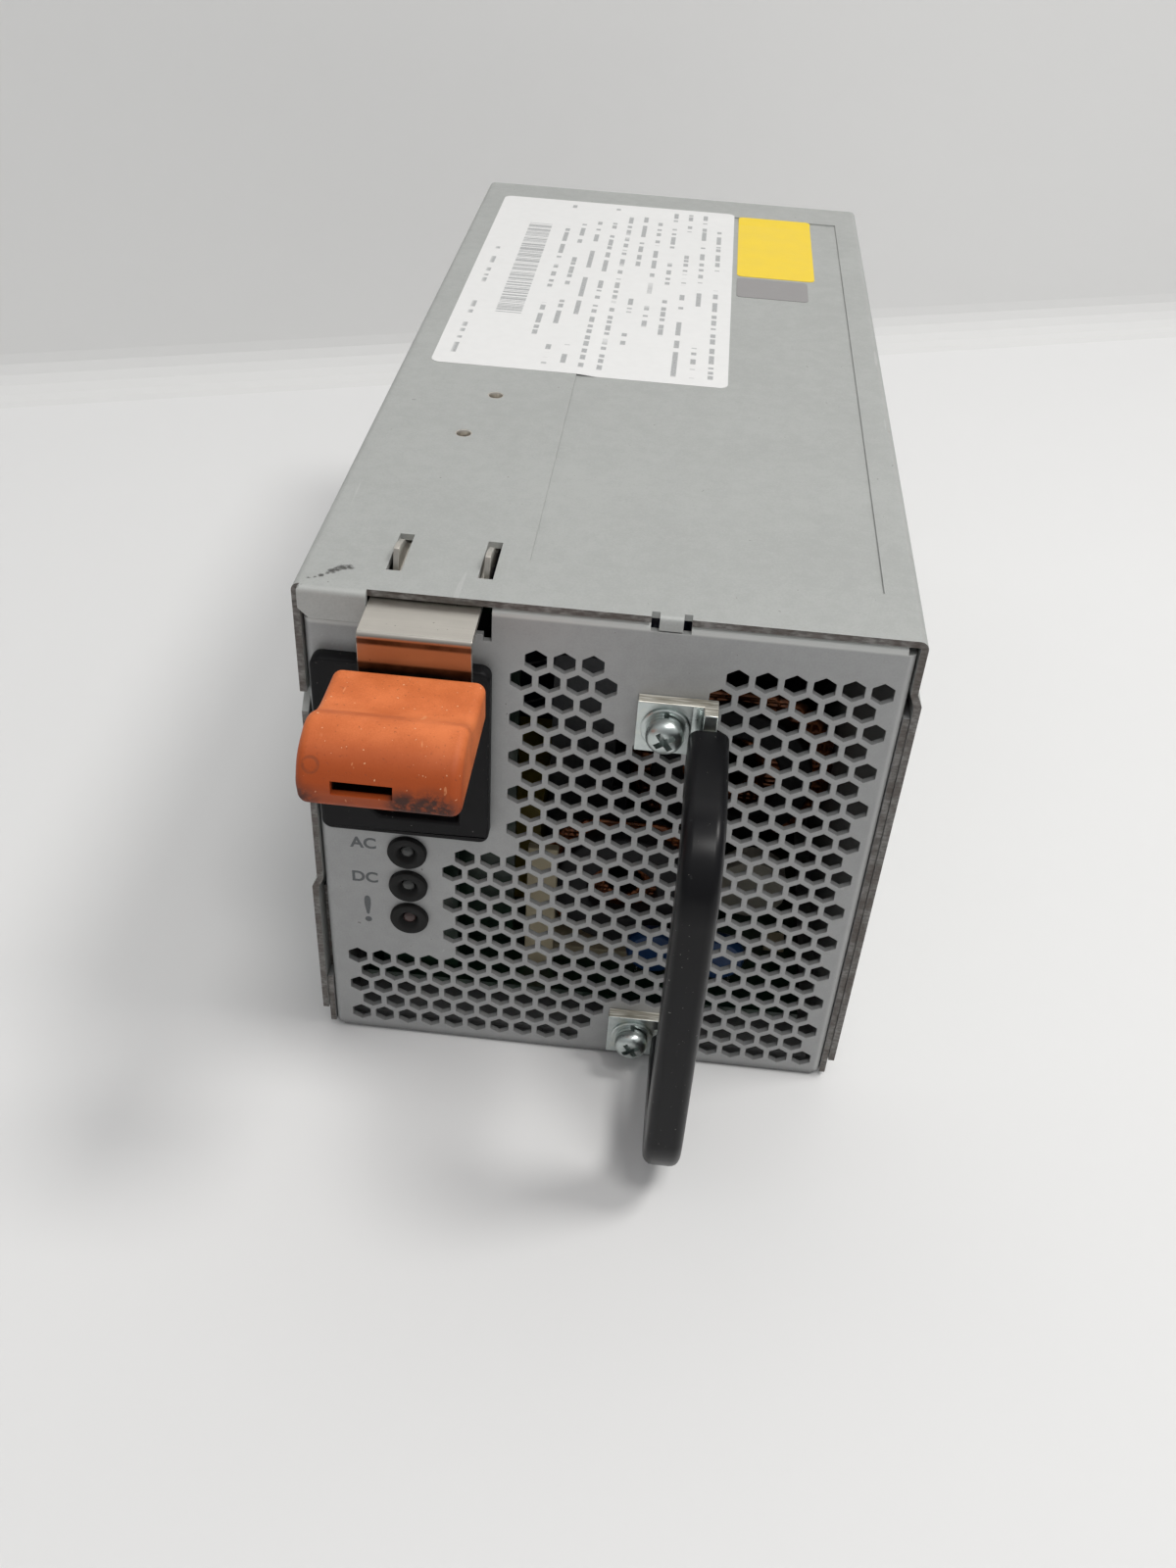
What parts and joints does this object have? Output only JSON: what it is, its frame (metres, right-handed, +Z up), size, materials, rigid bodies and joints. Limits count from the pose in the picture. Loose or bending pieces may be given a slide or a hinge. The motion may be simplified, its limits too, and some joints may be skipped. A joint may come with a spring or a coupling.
{
  "type": "hot swap server power supply",
  "caption": "Slide-in server power supply: vented front with mains inlet, status lamps, fixed carrying handle and sprung release latch; rear fan and blind-mating output connector.",
  "frame": {"origin": "centre of the case's footprint, on the underside of the chassis tray, without the handle, latch grip and connector that stand out of the case", "axes": "+Z up through the roof, +Y from the front panel with the inlet and handle to the rear panel with the fan, +X to the right seen from the front"},
  "size_m": [0.0882, 0.2234, 0.0915],
  "materials": {
    "sheet_steel": "satin, pre-coated grey green",
    "insulator": "milky film",
    "black_plastic": "moulded, fine grain",
    "contact_metal": "nickel plated",
    "clear_plastic": "translucent",
    "diode": "translucent",
    "circuit_board": "solder mask",
    "zinc_plate": "zinc plated, satin",
    "soft_sleeve": "matt",
    "spring_steel": "satin nickel",
    "orange_plastic": "moulded, worn",
    "white_nylon": "natural nylon",
    "blue_coating": "epoxy coated",
    "film_box": "moulded box",
    "ferrite": "ground ferrite",
    "copper": "enamelled copper wire",
    "tape": "polyester tape",
    "ceramic": "glazed",
    "clip_metal": "bright",
    "relay_case": "moulded",
    "sink_alloy": "anodised grey",
    "component_black": "epoxy",
    "can_sleeve": "shrink sleeve",
    "bush_brass": "sintered",
    "stator_iron": "laminated"
  },
  "bodies": {
    "case": {"blue_capacitors": "blue_coating", "board_supports": "white_nylon", "boost_core": "ferrite", "boost_winding": "copper", "bridge_rectifier": "component_black", "bridge_sink": "sink_alloy", "bulk_capacitors": "can_sleeve", "chassis_tray": "sheet_steel", "connector_housing": "black_plastic", "control_board": "circuit_board", "control_chips": "component_black", "fan_bush": "bush_brass", "fan_frame": "black_plastic", "fan_screws": "zinc_plate", "fan_stator": "stator_iron", "film_capacitors": "film_box", "filter_choke_base": "white_nylon", "filter_choke_coils": "copper", "filter_choke_core": "ferrite", "flat_washers": "zinc_plate", "front_panel": "sheet_steel", "fuse": "ceramic", "fuse_clips": "clip_metal", "handle_nuts": "zinc_plate", "handle_plate": "zinc_plate", "handle_screws": "zinc_plate", "handle_sleeve": "soft_sleeve", "inlet_board": "circuit_board", "inlet_housing": "black_plastic", "inlet_pins": "contact_metal", "inrush_relay": "relay_case", "insulating_sheet": "insulator", "lamp_bezels": "black_plastic", "lamp_board": "circuit_board", "lamp_diodes": "diode", "lamp_lenses": "clear_plastic", "latch_rivets": "spring_steel", "latch_root": "spring_steel", "main_board": "circuit_board", "output_capacitors": "can_sleeve", "output_choke": "ferrite", "output_rectifiers": "component_black", "power_contacts": "contact_metal", "power_transistors": "component_black", "primary_sink": "sink_alloy", "rear_panel": "sheet_steel", "rectifier_sink": "sink_alloy", "signal_contacts": "contact_metal", "spring_washers": "zinc_plate", "standby_transformer": "tape", "thermistor": "ceramic", "top_cover": "sheet_steel", "transformer_core": "ferrite", "transformer_winding": "tape"},
    "latch": {"latch_arm": "spring_steel", "latch_grip": "orange_plastic"},
    "fan": {"fan_rotor": "black_plastic", "fan_shaft": "clip_metal"}
  },
  "joints": [
    {"name": "release_latch", "type": "hinge", "parent": "case", "child": "latch", "pos_m": [-0.02385, -0.0487, 0.0878], "axis": [1, 0, 0], "range_deg": [0, 3.6], "stiffness_Nm_per_rad": 6},
    {"name": "fan_spin", "type": "hinge", "parent": "case", "child": "fan", "pos_m": [0, 0.0787, 0.0565], "axis": [0, 1, 0], "continuous": true}
  ]
}
